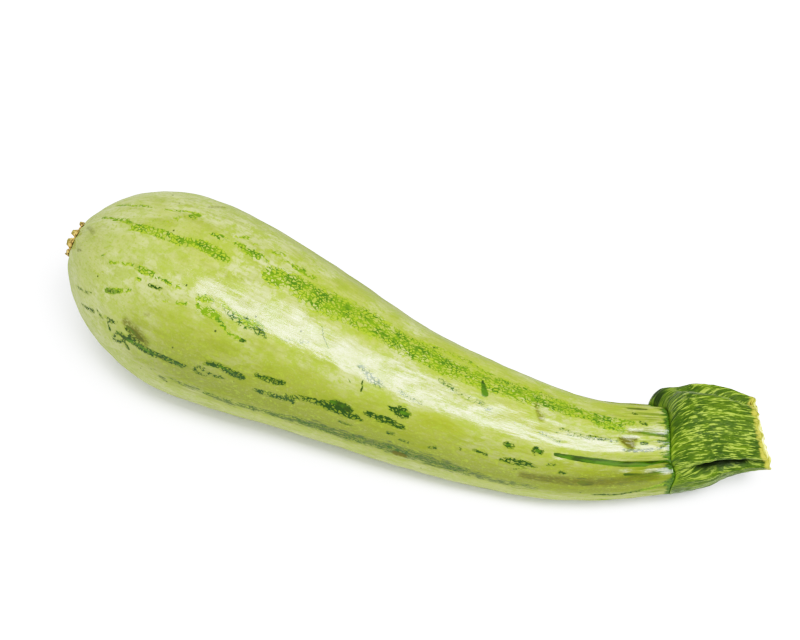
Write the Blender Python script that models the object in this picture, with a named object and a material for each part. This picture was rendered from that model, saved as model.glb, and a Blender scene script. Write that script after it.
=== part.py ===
"""A pale green zucchini with its cut stem and its blossom scar, lying on its side.

Metres, +Z up. +X runs from the blossom end to the stem. The origin is on the
surface that it lies on, under the middle of its length and width.

Angles round the fruit and the stem are measured from the top, towards -Y.
"""
import math

import bmesh
import bpy
from mathutils import Vector

MM = 0.001
UP = Vector((0.0, 0.0, 1.0))
GAP = 0.3 * MM

# Fruit: radius and sideways bend at even stations, from the blossom end to the neck
STATION_STEP = 29.5 * MM
FULL_RADII = [r * MM for r in (32.5, 33.0, 31.5, 27.0, 23.0, 20.0, 17.0, 14.0)]
SWAY = [y * MM for y in (0.0, -2.5, -6.5, -9.0, -12.5, -13.0, -10.5, -1.5)]
FRUIT_LENGTH = STATION_STEP * (len(FULL_RADII) - 1)
NOSE_LENGTH = 52 * MM
NOSE_FULLNESS = 2.2
NOSE_RISE = 8 * MM
NOSE_RISE_LENGTH = 62 * MM
NECK_RISE = 4 * MM
NECK_RISE_LENGTH = 50 * MM
UNDERSIDE_PRESS = 0.5 * MM

# Furrows that run from the stem on to the neck and fade out there: angle in degrees, depth
# as a share of the radius. The deep ones go on from the stem's grooves.
NECK_FURROWS = (
    (57, 0.16), (130, 0.12), (-150, 0.12), (-95, 0.12), (-46, 0.09),
    (12, 0.05), (84, 0.06), (172, 0.04), (-122, 0.04), (-70, 0.04),
)
FURROW_WIDTH = math.radians(7.5)
FURROW_LENGTH = 40 * MM
NECK_TWIST = math.radians(0.3) / MM

# Edge between fruit and stem: a wave, with one large lobe that reaches back over the neck
EDGE_SETBACK = 2.4 * MM
EDGE_NOTCH = 1.6 * MM
LOBE_ANGLE = math.radians(-66)
LOBE_WIDTH = math.radians(26)
LOBE_REACH = 6.4 * MM
EDGE_FADE = 30 * MM

# Stem: its middle line measured from the neck's end, and the radius over its ribs
STEM_LINE = [Vector(p) * MM for p in ((0, 3.2, 1.3), (10, 7.4, 4.1), (20, 9.3, 5.8), (30, 10.4, 7.2))]
STEM_LINE_LENGTH = 31 * MM
STEM_RADII = [r * MM for r in (17.0, 16.7, 15.5, 14.0, 12.4, 11.1, 10.4)]
STEM_TURN_LENGTH = 12 * MM
GROOVE_ANGLES = [math.radians(a) for a in (70, 132, -150, -95, -46)]
GROOVE_WIDTH = math.radians(8)
GROOVE_DEPTH_BASE = 0.07
GROOVE_DEPTH = 0.24
GROOVE_START = 9 * MM
STEM_TWIST = math.radians(0.7) / MM
SHOULDER_LENGTH = 5 * MM
SHOULDER_STEP = 0.5 * MM
CUT_LENGTH = 26 * MM
CUT_SLANT = 3.7 * MM
CUT_SLANT_ANGLE = math.radians(-62)
# Cut face, from its rim inwards: share of the stem's radius, and depth under the cut's edge
CUT_FACE = ((0.95, -0.4 * MM), (0.85, 0.0), (0.4, 0.4 * MM))
CUT_MIDDLE_DEPTH = 0.5 * MM

# Blossom scar: a corky disc with a crumbled rim
SCAR_SEAT_RADIUS = 6.2 * MM
SCAR_RADIUS = 6.3 * MM
SCAR_THICKNESS = 0.5 * MM
SCAR_RIM_HEIGHT = 1.7 * MM
# Its section, from underneath outwards and back over the top: shares of radius, thickness, rim
SCAR_SECTION = (
    (0.5, 0.0, 0.0),
    (0.96, 0.0, 0.0),
    (1.0, 0.5, 0.1),
    (0.93, 1.0, 1.0),
    (0.80, 1.0, 0.7),
    (0.68, 1.0, 0.0),
    (0.30, 0.6, 0.0),
)

# Fineness of the surfaces
SEGMENTS = 60
NOSE_RINGS = 14
BODY_RINGS = 28
SHOULDER_RINGS = (0.0, 0.06, 0.2, 0.45, 1.0)
STEM_RINGS = 11
SHARP_ANGLE = math.radians(40)


def smooth_through(values, t):
    """Read the smooth curve through evenly spaced values, with t from 0 to 1."""
    last = len(values) - 1
    x = min(max(t, 0.0), 1.0) * last
    i = min(int(x), last - 1)
    f = x - i
    b, c = values[i], values[i + 1]
    a = values[i - 1] if i > 0 else 2 * b - c
    d = values[i + 2] if i + 2 <= last else 2 * c - b
    return b + 0.5 * f * ((c - a) + f * ((2 * a - 5 * b + 4 * c - d) + f * (3 * (b - c) + d - a)))


def ramp(x):
    """Ease from 0 to 1 as x goes from 0 to 1."""
    x = min(max(x, 0.0), 1.0)
    return x * x * (3 - 2 * x)


def bell(angle, centre, width):
    """Return a smooth bump round one angle."""
    away = (angle - centre + math.pi) % (2 * math.pi) - math.pi
    return math.exp(-((away / width) ** 2))


def around(tangent, angle):
    """Return the direction square to the tangent at an angle from the top."""
    side = tangent.cross(UP).normalized()
    top = side.cross(tangent)
    return top * math.cos(angle) + side * math.sin(angle)


# Fruit

def full_radius(s):
    return smooth_through(FULL_RADII, s / FRUIT_LENGTH)


def fruit_centre(s):
    """Return the middle of the fruit at distance s from the blossom end."""
    nose = max(1 - s / NOSE_RISE_LENGTH, 0.0)
    neck = max(s - (FRUIT_LENGTH - NECK_RISE_LENGTH), 0.0) / NECK_RISE_LENGTH
    height = full_radius(s) + NOSE_RISE * nose ** 2 + NECK_RISE * neck ** 2
    return Vector((s, smooth_through(SWAY, s / FRUIT_LENGTH), height))


def fruit_tangent(s):
    step = 1 * MM
    ahead = fruit_centre(min(s + step, FRUIT_LENGTH))
    behind = fruit_centre(max(s - step, 0.0))
    return (ahead - behind).normalized()


def fruit_radius(s, angle):
    """Return the radius with the rounded nose and the neck's furrows."""
    k = max(1 - s / NOSE_LENGTH, 0.0)
    nose = math.sqrt(max(1 - k ** NOSE_FULLNESS, 0.0))
    fade = ramp((s - FRUIT_LENGTH + FURROW_LENGTH) / FURROW_LENGTH)
    turned = angle - NECK_TWIST * (s - FRUIT_LENGTH)
    furrow = sum(depth * bell(turned, math.radians(place), FURROW_WIDTH) for place, depth in NECK_FURROWS)
    return full_radius(s) * nose * (1 - fade * furrow)


def edge_setback(angle):
    """Return how far the fruit's edge lies behind the neck's end."""
    notch = sum(bell(angle, groove, 2 * GROOVE_WIDTH) for groove in GROOVE_ANGLES)
    return EDGE_SETBACK - EDGE_NOTCH * notch + LOBE_REACH * bell(angle, LOBE_ANGLE, LOBE_WIDTH)


NECK_END = fruit_centre(FRUIT_LENGTH)
NECK_TANGENT = fruit_tangent(FRUIT_LENGTH)


def fruit_point(s, angle):
    """Return a point on the fruit's skin; near the neck's end it follows the wavy edge."""
    fade = max((s - FRUIT_LENGTH + EDGE_FADE) / EDGE_FADE, 0.0) ** 2
    along = s - fade * edge_setback(angle)
    radius = fruit_radius(along, angle)
    own = fruit_centre(along) + around(fruit_tangent(along), angle) * radius
    straight = NECK_END + NECK_TANGENT * (along - FRUIT_LENGTH) + around(NECK_TANGENT, angle) * radius
    return own.lerp(straight, fade)


def seat_point(share, angle, lift):
    """Return a point where fruit and stem meet, at a share of the way out from the middle."""
    setback = edge_setback(angle)
    radius = fruit_radius(FRUIT_LENGTH - setback, angle)
    along = lift - setback * share ** 2
    return NECK_END + NECK_TANGENT * along + around(NECK_TANGENT, angle) * (radius * share)


# Stem

def stem_line(u):
    """Return the middle of the stem at distance u from the neck's end."""
    t = u / STEM_LINE_LENGTH
    return NECK_END + Vector([smooth_through([p[axis] for p in STEM_LINE], t) for axis in range(3)])


def stem_frame(u):
    """Return the stem's middle and tangent, which start out square to the neck's end."""
    if u <= 0:
        return stem_line(0) + NECK_TANGENT * u, NECK_TANGENT
    step = 1 * MM
    own = (stem_line(u + step) - stem_line(u - step)).normalized()
    turn = ramp(u / STEM_TURN_LENGTH)
    return stem_line(u), NECK_TANGENT.lerp(own, turn).normalized()


def stem_radius(u, angle):
    """Return the radius over the ribs, less the five narrow grooves between them."""
    full = smooth_through(STEM_RADII, u / STEM_LINE_LENGTH)
    turned = angle - STEM_TWIST * max(u, 0.0)
    groove = sum(bell(turned, place, GROOVE_WIDTH) for place in GROOVE_ANGLES)
    depth = GROOVE_DEPTH_BASE + (GROOVE_DEPTH - GROOVE_DEPTH_BASE) * ramp(u / GROOVE_START)
    return full * (1 - depth * groove)


def stem_point(u, angle, share=1.0):
    centre, tangent = stem_frame(u)
    return centre + around(tangent, angle) * (stem_radius(u, angle) * share)


def stem_start(angle):
    return GAP - edge_setback(angle)


def stem_end(angle):
    """Return where the slanting cut ends the stem at this angle."""
    return CUT_LENGTH - CUT_SLANT * math.cos(angle - CUT_SLANT_ANGLE)


def rib_point(part, angle):
    """Return a point on the ribbed stretch, from its shoulder to the cut."""
    begin = stem_start(angle) + SHOULDER_LENGTH
    return stem_point(begin + (stem_end(angle) - begin) * part, angle)


def cut_point(share, angle, sunk):
    """Return a point on the slanting cut face, at a share of the way out from its middle."""
    u = CUT_LENGTH - CUT_SLANT * math.cos(angle - CUT_SLANT_ANGLE) * share - sunk
    return stem_point(u, angle, share=share)


def shoulder_point(forward, angle):
    """Return a point on the round shoulder that swells from the neck's skin to the full stem."""
    edge = seat_point(1.0, angle, GAP + forward) + around(NECK_TANGENT, angle) * SHOULDER_STEP
    swell = math.sqrt(1 - (1 - forward / SHOULDER_LENGTH) ** 2)
    return edge.lerp(stem_point(stem_start(angle) + forward, angle), swell)


# Meshes

def ring(point_at):
    """Return the points of one closed ring, one for each segment."""
    return [point_at(2 * math.pi * i / SEGMENTS) for i in range(SEGMENTS)]


def closed_skin(name, first_pole, rings, last_pole, material):
    """Join rings of points, and a pole at each end, into one closed object."""
    shell = bmesh.new()
    loops = [[shell.verts.new(p) for p in points] for points in rings]
    count = len(loops[0])
    start = shell.verts.new(first_pole)
    end = shell.verts.new(last_pole)
    for i in range(count):
        j = (i + 1) % count
        shell.faces.new((start, loops[0][j], loops[0][i]))
        shell.faces.new((end, loops[-1][i], loops[-1][j]))
        for near, far in zip(loops, loops[1:]):
            shell.faces.new((near[i], near[j], far[j], far[i]))
    bmesh.ops.recalc_face_normals(shell, faces=shell.faces)
    bmesh.ops.triangulate(shell, faces=shell.faces)
    mesh = bpy.data.meshes.new(name)
    shell.to_mesh(mesh)
    shell.free()
    mesh.materials.append(material)
    mesh.shade_smooth()
    mesh.set_sharp_from_angle(angle=SHARP_ANGLE)
    piece = bpy.data.objects.new(name, mesh)
    bpy.context.scene.collection.objects.link(piece)
    return piece


def finish(name, colour, roughness):
    material = bpy.data.materials.new(name)
    material.use_nodes = True
    shader = material.node_tree.nodes["Principled BSDF"]
    shader.inputs["Base Color"].default_value = (*colour, 1.0)
    shader.inputs["Roughness"].default_value = roughness
    shader.inputs["Metallic"].default_value = 0.0
    return material


def nose_start():
    """Return where the nose is as wide as the flat spot under the blossom scar."""
    share = 1 - (SCAR_SEAT_RADIUS / FULL_RADII[0]) ** 2
    return NOSE_LENGTH * (1 - share ** (1 / NOSE_FULLNESS))


def make_fruit():
    start = nose_start()
    places = []
    for i in range(NOSE_RINGS):
        swing = math.pi / 2 * i / NOSE_RINGS
        places.append(start + (NOSE_LENGTH - start) * (1 - math.cos(swing)))
    for i in range(BODY_RINGS + 1):
        places.append(NOSE_LENGTH + (FRUIT_LENGTH - NOSE_LENGTH) * i / BODY_RINGS)
    rings = [ring(lambda angle, s=s: fruit_point(s, angle)) for s in places]
    for share in (2 / 3, 1 / 3):
        rings.append(ring(lambda angle, share=share: seat_point(share, angle, 0.0)))
    skin = finish("fruit skin", (0.56, 0.64, 0.27), 0.38)
    return closed_skin("fruit", fruit_centre(start), rings, NECK_END, skin)


def make_stem():
    rings = [ring(lambda angle, share=share: seat_point(share, angle, GAP)) for share in (1 / 3, 2 / 3, 1.0)]
    for part in SHOULDER_RINGS:
        rings.append(ring(lambda angle, k=part: shoulder_point(SHOULDER_LENGTH * k, angle)))
    for i in range(STEM_RINGS):
        rings.append(ring(lambda angle, k=(i + 1) / STEM_RINGS: rib_point(k, angle)))
    for share, sunk in CUT_FACE:
        rings.append(ring(lambda angle, k=share, d=sunk: cut_point(k, angle, d)))
    green = finish("stem rind", (0.14, 0.25, 0.05), 0.5)
    first_pole = NECK_END + NECK_TANGENT * GAP
    centre, tangent = stem_frame(CUT_LENGTH)
    return closed_skin("stem", first_pole, rings, centre - tangent * CUT_MIDDLE_DEPTH, green)


def make_blossom_scar():
    """Make the disc on the flat spot at the tip, with nubs left along its rim."""
    start = nose_start()
    base = fruit_centre(start)
    outward = -fruit_tangent(start)

    def scar_point(radius, height, angle):
        return base + outward * height + around(-outward, angle) * radius

    def nub(angle):
        beat = abs(math.sin(5 * angle + 0.5 * math.sin(3 * angle)))
        return beat ** 1.5 * (0.7 + 0.3 * math.sin(4 * angle + 1.0))

    def scar_ring(out, disc, rim):
        def point(angle):
            height = GAP + SCAR_THICKNESS * disc + SCAR_RIM_HEIGHT * rim * nub(angle)
            return scar_point(SCAR_RADIUS * out, height, angle)

        return ring(point)

    rings = [scar_ring(out, disc, rim) for out, disc, rim in SCAR_SECTION]
    cork = finish("scar cork", (0.32, 0.19, 0.07), 0.85)
    under = base + outward * GAP
    return closed_skin("blossom_scar", under, rings, under + outward * SCAR_THICKNESS, cork)


def lay_down(pieces):
    """Press the underside flat and bring the origin under the middle of the whole."""
    for piece in pieces:
        for vertex in piece.data.vertices:
            vertex.co.z = max(vertex.co.z - UNDERSIDE_PRESS, 0.0)
    corners = [vertex.co for piece in pieces for vertex in piece.data.vertices]
    middle = Vector([(min(p[axis] for p in corners) + max(p[axis] for p in corners)) / 2 for axis in range(2)])
    for piece in pieces:
        for vertex in piece.data.vertices:
            vertex.co.x -= middle.x
            vertex.co.y -= middle.y


def main():
    for old in list(bpy.data.objects):
        bpy.data.objects.remove(old, do_unlink=True)
    lay_down([make_fruit(), make_stem(), make_blossom_scar()])


main()
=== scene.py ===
# %% [markdown]
# # A pale green zucchini
# A zucchini of the pale kind lies on its side: a fat blossom end, a slim bent neck, and
# the ribbed stem by which it was cut from the plant. A fixed, plain model already says
# how large each piece is and where it lies. This lesson makes the fine skins that
# replace those plain pieces, then their finishes, and last the light and the camera.

# %% Load the plain model
import math

import bpy
import numpy as np
from mathutils import Matrix, Vector


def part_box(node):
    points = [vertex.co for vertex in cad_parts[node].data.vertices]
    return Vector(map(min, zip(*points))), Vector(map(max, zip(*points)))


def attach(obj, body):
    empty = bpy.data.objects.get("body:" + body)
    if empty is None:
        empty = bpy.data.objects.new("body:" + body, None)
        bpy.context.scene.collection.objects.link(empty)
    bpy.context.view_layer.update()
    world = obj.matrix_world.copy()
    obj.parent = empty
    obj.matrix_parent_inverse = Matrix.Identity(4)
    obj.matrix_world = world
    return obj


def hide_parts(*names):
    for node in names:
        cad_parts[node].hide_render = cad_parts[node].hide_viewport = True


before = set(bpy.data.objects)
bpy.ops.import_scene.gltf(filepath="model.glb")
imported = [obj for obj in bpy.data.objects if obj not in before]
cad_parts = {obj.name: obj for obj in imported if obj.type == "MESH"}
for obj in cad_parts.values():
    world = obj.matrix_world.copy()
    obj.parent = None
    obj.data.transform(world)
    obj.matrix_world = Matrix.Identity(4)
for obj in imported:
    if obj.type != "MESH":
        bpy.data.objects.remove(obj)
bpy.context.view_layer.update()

print("plain pieces:", sorted(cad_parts))

# %% [markdown]
# ## Curves through a few stations
# A grown body has no straight edges, so its form is written as a few sizes at even
# stations with a smooth curve drawn through them. All helpers work on whole arrays,
# because the fine skin has more than ninety thousand points.

# %% Smooth curves and bumps
MM = 0.001
UP = np.array((0.0, 0.0, 1.0))


def smooth_through(values, t):
    """Read the smooth curve through evenly spaced values, with t from 0 to 1."""
    values = np.asarray(values, float)
    last = len(values) - 1
    padded = np.concatenate([[2 * values[0] - values[1]], values, [2 * values[-1] - values[-2]]])
    x = np.clip(t, 0.0, 1.0) * last
    i = np.minimum(x.astype(int), last - 1)
    f = x - i
    a, b, c, d = padded[i], padded[i + 1], padded[i + 2], padded[i + 3]
    return b + 0.5 * f * ((c - a) + f * ((2 * a - 5 * b + 4 * c - d) + f * (3 * (b - c) + d - a)))


def ramp(x, start=0.0, end=1.0):
    """Ease from 0 to 1 as x goes from start to end."""
    x = np.clip((x - start) / (end - start), 0.0, 1.0)
    return x * x * (3 - 2 * x)


def half_turn(angle):
    """Bring an angle to within half a turn of zero."""
    return (angle + math.pi) % (2 * math.pi) - math.pi


def bell(angle, centre, width):
    """Return a smooth bump round one angle."""
    return np.exp(-((half_turn(angle - centre) / width) ** 2))


def unit(vectors):
    """Return the vectors at length 1."""
    return vectors / np.linalg.norm(vectors, axis=-1, keepdims=True)


def around(tangent, angle):
    """Return the direction square to the tangent at an angle from the top, towards -Y."""
    side = unit(np.cross(tangent, UP))
    top = np.cross(side, tangent)
    angle = np.asarray(angle)[..., None]
    return top * np.cos(angle) + side * np.sin(angle)


print("half way between 1 and 3:", smooth_through((0, 1, 3, 4), 0.5))

# %% [markdown]
# ## Chance that grows
# Skin is never even, but it isn't rough like sand either: it rolls. Adding up a few
# dozen faint waves that run in random directions gives such a rolling height. The
# draw has a seed, so the zucchini is the same one every time.

# %% Rolling heights
def rolling(points, wavelength, seed, waves=28):
    """Return a smooth random height with a spread of 1 at each point."""
    draw = np.random.default_rng(seed)
    total = np.zeros(points.shape[:-1])
    for _ in range(waves):
        direction = unit(draw.normal(size=3))
        length = wavelength * draw.uniform(0.7, 1.5)
        total += np.sin(points @ (direction * 2 * math.pi / length) + draw.uniform(0, 2 * math.pi))
    return total * math.sqrt(2 / waves)


test_points = np.random.default_rng(0).normal(size=(2000, 3))
print("spread of a rolling height:", rolling(test_points, 0.5, 1).std().round(2))

# %% [markdown]
# ## From a grid of points to a mesh
# Every piece here is a closed bag: rings of points that follow each other, and a
# single point at both ends. One helper makes the mesh of any such bag. It also
# writes down numbers for each point, called attributes, which the finish reads later.

# %% Meshes from rings
def bag(name, first_pole, rings, last_pole, notes):
    """Make a smooth closed piece from rings of points, a pole at each end, and notes."""
    count, segments, _ = rings.shape
    points = np.concatenate([rings.reshape(-1, 3), [first_pole, last_pole]])
    start, end = len(points) - 2, len(points) - 1
    here = np.arange(segments)
    after = (here + 1) % segments
    row = np.arange(count - 1)[:, None] * segments
    quads = np.stack([row + here, row + after, row + segments + after, row + segments + here], -1)
    last_row = (count - 1) * segments
    first_fan = np.stack([np.full(segments, start), after, here], -1)
    last_fan = np.stack([np.full(segments, end), last_row + here, last_row + after], -1)
    faces = quads.reshape(-1, 4).tolist() + first_fan.tolist() + last_fan.tolist()
    mesh = bpy.data.meshes.new(name)
    mesh.from_pydata(points.tolist(), [], faces)
    mesh.shade_smooth()
    for title, values in notes.items():
        poles = [values[0].mean(axis=0), values[-1].mean(axis=0)]
        flat = np.concatenate([values.reshape(count * segments, -1), np.reshape(poles, (2, -1))])
        kind, slot = ("FLOAT", "value") if flat.shape[1] == 1 else ("FLOAT_VECTOR", "vector")
        mesh.attributes.new(title, kind, "POINT").data.foreach_set(slot, flat.astype(np.float32).ravel())
    piece = bpy.data.objects.new(name, mesh)
    bpy.context.scene.collection.objects.link(piece)
    print(f"{name}: {len(points)} points, {2 * quads.size // 4 + 2 * segments} triangles")
    return piece


def outward(rings):
    """Return the direction straight out of the skin at each point of the rings."""
    across = np.roll(rings, -1, axis=1) - np.roll(rings, 1, axis=1)
    along = np.gradient(rings, axis=0)
    return unit(np.cross(across, along))


# %% [markdown]
# ## The fruit's form
# The body is round in section all the way, so its form is a bent middle line and a
# radius. The line sways sideways, and rises where the blossom end and the neck lift
# off the table. Five furrows, with fainter ones between them, run out of the stem and
# fade along the neck.

# %% Fruit sizes
STATION_STEP = 29.5 * MM
FULL_RADII = [r * MM for r in (32.5, 33.0, 31.5, 27.0, 23.0, 20.0, 17.0, 14.0)]
SWAY = [y * MM for y in (0.0, -2.5, -6.5, -9.0, -12.5, -13.0, -10.5, -1.5)]
FRUIT_LENGTH = STATION_STEP * (len(FULL_RADII) - 1)
NOSE_LENGTH = 52 * MM
NOSE_FULLNESS = 2.2
NOSE_RISE = 8 * MM
NOSE_RISE_LENGTH = 62 * MM
NECK_RISE = 4 * MM
NECK_RISE_LENGTH = 50 * MM
UNDERSIDE_PRESS = 0.5 * MM
NECK_FURROWS = (
    (57, 0.13), (64, 0.05), (71, 0.03), (78, 0.02), (85, 0.01), (130, 0.12), (-150, 0.12),
    (-95, 0.12), (-46, 0.09), (12, 0.03), (172, 0.04), (-122, 0.04), (-70, 0.04),
)
FURROW_WIDTH = math.radians(7.5)
FURROW_LENGTH = 40 * MM
NECK_TWIST = math.radians(0.3) / MM
EDGE_SETBACK = 2.4 * MM
EDGE_NOTCH = 1.6 * MM
LOBE_ANGLE = math.radians(-66)
LOBE_WIDTH = math.radians(26)
LOBE_REACH = 6.4 * MM
EDGE_FADE = 30 * MM
GROOVE_ANGLES = [math.radians(a) for a in (70, 132, -150, -95, -46)]
GROOVE_WIDTH = math.radians(8)
GAP = 0.3 * MM
SCAR_SEAT_RADIUS = 6.2 * MM
print(f"fruit: {FRUIT_LENGTH * 1000:.1f} mm long, {2000 * max(FULL_RADII):.0f} mm across")

# %% [markdown]
# These are the formulas of the plain model, written out once more. A point is found from
# its distance along the fruit and its angle from the top. Near the neck's end the skin
# follows a wavy edge, because the stem's lobes reach over it.

# %% Fruit formulas
def full_radius(s):
    """Return the radius before the nose and the furrows take from it."""
    return smooth_through(FULL_RADII, s / FRUIT_LENGTH)


def fruit_centre(s):
    """Return the middle of the fruit at distance s from the blossom end."""
    nose = np.maximum(1 - s / NOSE_RISE_LENGTH, 0.0)
    neck = np.maximum(s - (FRUIT_LENGTH - NECK_RISE_LENGTH), 0.0) / NECK_RISE_LENGTH
    height = full_radius(s) + NOSE_RISE * nose ** 2 + NECK_RISE * neck ** 2
    return np.stack([s + 0.0 * height, smooth_through(SWAY, s / FRUIT_LENGTH), height], -1)


def fruit_tangent(s):
    """Return the direction of the middle line."""
    ahead = fruit_centre(np.minimum(s + MM, FRUIT_LENGTH))
    behind = fruit_centre(np.maximum(s - MM, 0.0))
    return unit(ahead - behind)


def fruit_radius(s, angle):
    """Return the radius with the rounded nose and the neck's furrows."""
    k = np.maximum(1 - s / NOSE_LENGTH, 0.0)
    nose = np.sqrt(np.maximum(1 - k ** NOSE_FULLNESS, 0.0))
    fade = ramp((s - FRUIT_LENGTH + FURROW_LENGTH) / FURROW_LENGTH)
    turned = angle - NECK_TWIST * (s - FRUIT_LENGTH)
    furrow = sum(depth * bell(turned, math.radians(place), FURROW_WIDTH) for place, depth in NECK_FURROWS)
    return full_radius(s) * nose * (1 - fade * furrow)


def edge_setback(angle):
    """Return how far the fruit's edge lies behind the neck's end."""
    notch = sum(bell(angle, groove, 2 * GROOVE_WIDTH) for groove in GROOVE_ANGLES)
    return EDGE_SETBACK - EDGE_NOTCH * notch + LOBE_REACH * bell(angle, LOBE_ANGLE, LOBE_WIDTH)


NECK_END = fruit_centre(FRUIT_LENGTH)
NECK_TANGENT = fruit_tangent(FRUIT_LENGTH)


def beyond_neck(along, angle, radius):
    """Return points round the straight line that goes on from the neck."""
    middle = NECK_END + NECK_TANGENT * along[..., None]
    return middle + around(NECK_TANGENT, angle) * radius[..., None]


def fruit_point(s, angle):
    """Return points on the fruit's skin; near the neck's end they follow the wavy edge."""
    fade = np.maximum((s - FRUIT_LENGTH + EDGE_FADE) / EDGE_FADE, 0.0) ** 2
    along = s - fade * edge_setback(angle)
    radius = fruit_radius(along, angle)
    own = fruit_centre(along) + around(fruit_tangent(along), angle) * radius[..., None]
    straight = beyond_neck(along - FRUIT_LENGTH, angle, radius)
    return own + (straight - own) * fade[..., None]


def seat_point(share, angle, lift):
    """Return points where fruit and stem meet, at a share of the way out from the middle."""
    setback = edge_setback(angle)
    radius = fruit_radius(FRUIT_LENGTH - setback, angle)
    return beyond_neck(lift - setback * share ** 2, angle, radius * share)


def nose_start():
    """Return where the nose is as wide as the flat spot under the blossom scar."""
    share = 1 - (SCAR_SEAT_RADIUS / FULL_RADII[0]) ** 2
    return NOSE_LENGTH * (1 - share ** (1 / NOSE_FULLNESS))


print(f"the skin starts {nose_start() * 1000:.2f} mm from the blossom end")

# %% [markdown]
# ## Where the rings go
# Rings at even steps of length would crowd along the body and be far apart on the
# steep nose. So the outline is walked first, and the rings are set at even steps
# of the way walked. That way, in millimetres, also serves as the skin's own ruler:
# with the angle, it says where a mark is, and streaks can be stretched along it.

# %% Fruit grid
SEGMENTS = 300
RING_STEP = 0.71 * MM
RULER_RADIUS = 24.0

walk = np.linspace(nose_start(), FRUIT_LENGTH, 6000)
outline = fruit_radius(walk, 0.0)
way = np.concatenate([[0.0], np.cumsum(np.hypot(np.diff(walk), np.diff(outline)))])
ring_count = int(way[-1] / RING_STEP)
ring_way = np.linspace(0.0, way[-1], ring_count)
ring_s = np.interp(ring_way, way, walk)

ANGLE = np.linspace(0.0, 2 * math.pi, SEGMENTS, endpoint=False)[None, :]
S = ring_s[:, None] + 0.0 * ANGLE
WAY = (ring_way[:, None] + 0.0 * ANGLE) / MM + SCAR_SEAT_RADIUS / MM
ROUND = ANGLE + 0.0 * S
skin_place = np.stack([WAY, RULER_RADIUS * np.cos(ROUND), RULER_RADIUS * np.sin(ROUND)], -1)
skin = fruit_point(S, ROUND)
print(f"{ring_count} rings of {SEGMENTS} points, {way[-1] * 1000:.0f} mm along the skin")

# %% [markdown]
# ## Marks as strokes
# The stripes, spots and scratches are painted as strokes on the skin. A
# stroke is a line of places, each with its distance from the blossom end in mm, its
# angle from the top in degrees, and half its width in mm. A stroke gives each point
# of the skin a number, 1 on the line and falling off softly beside it. The finish
# will break that soft edge up into cells, so few numbers give a rich mark.

# %% Painting helpers
SKIN_RADIUS = np.maximum(np.linalg.norm(skin - fruit_centre(S), axis=-1), 1 * MM) / MM
STROKE_REACH = 3.5


def trace(stroke, power=4):
    """Return 0 to 1 for each point of the skin: 1 on the stroke, less beside it."""
    field = np.zeros(S.shape)
    for (s0, a0, w0), (s1, a1, w1) in zip(stroke, stroke[1:] or stroke):
        reach = STROKE_REACH * max(w0, w1)
        near = np.flatnonzero((ring_s / MM > min(s0, s1) - reach) & (ring_s / MM < max(s0, s1) + reach))
        if not len(near):
            continue
        rows = slice(near[0], near[-1] + 1)
        x = S[rows] / MM - s0
        y = half_turn(ROUND[rows] - math.radians(a0)) * SKIN_RADIUS[rows]
        dx = s1 - s0
        dy = math.radians(a1 - a0) * SKIN_RADIUS[rows]
        share = np.clip((x * dx + y * dy) / (dx * dx + dy * dy + 1e-6), 0.0, 1.0)
        away = np.hypot(x - share * dx, y - share * dy) / (w0 + share * (w1 - w0))
        field[rows] = np.maximum(field[rows], np.exp(-away ** power))
    return field


def paint(layers):
    """Lay strokes over each other, each with its own strength, and keep the strongest."""
    field = np.zeros(S.shape)
    for strength, stroke in layers:
        field = np.maximum(field, strength * trace(stroke))
    return field


print("points on a dot 4 mm across:", np.count_nonzero(trace([(100, 0, 2.0)]) > 0.5))

# %% [markdown]
# To be read at a glance, the strokes are kept in tables of text. Each row is one stroke: its
# strength, a colon, and its places. A place without a width keeps the one before, and a
# row that ends with a comma goes on in the next line.

# %% Tables of strokes
def strokes(table):
    """Read a list of strokes, each a strength and its places, from a table."""
    result = []
    for row in table.replace(",\n", ",").strip().splitlines():
        strength, places = row.split(":")
        stroke = []
        for place in places.split(","):
            way, angle, *width = [float(word) for word in place.split()]
            stroke.append((way, angle, width[0] if width else stroke[-1][2]))
        result.append((float(strength), stroke))
    return result


print("a stroke:", strokes("1: 10 -5 2, 20 0"))

# %% [markdown]
# ### Bright green stripes
# On the side that faces up, the main stripe is a wide net of bright green cells that
# runs from behind the blossom end to the stem. Shorter ones lie beside it.

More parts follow.
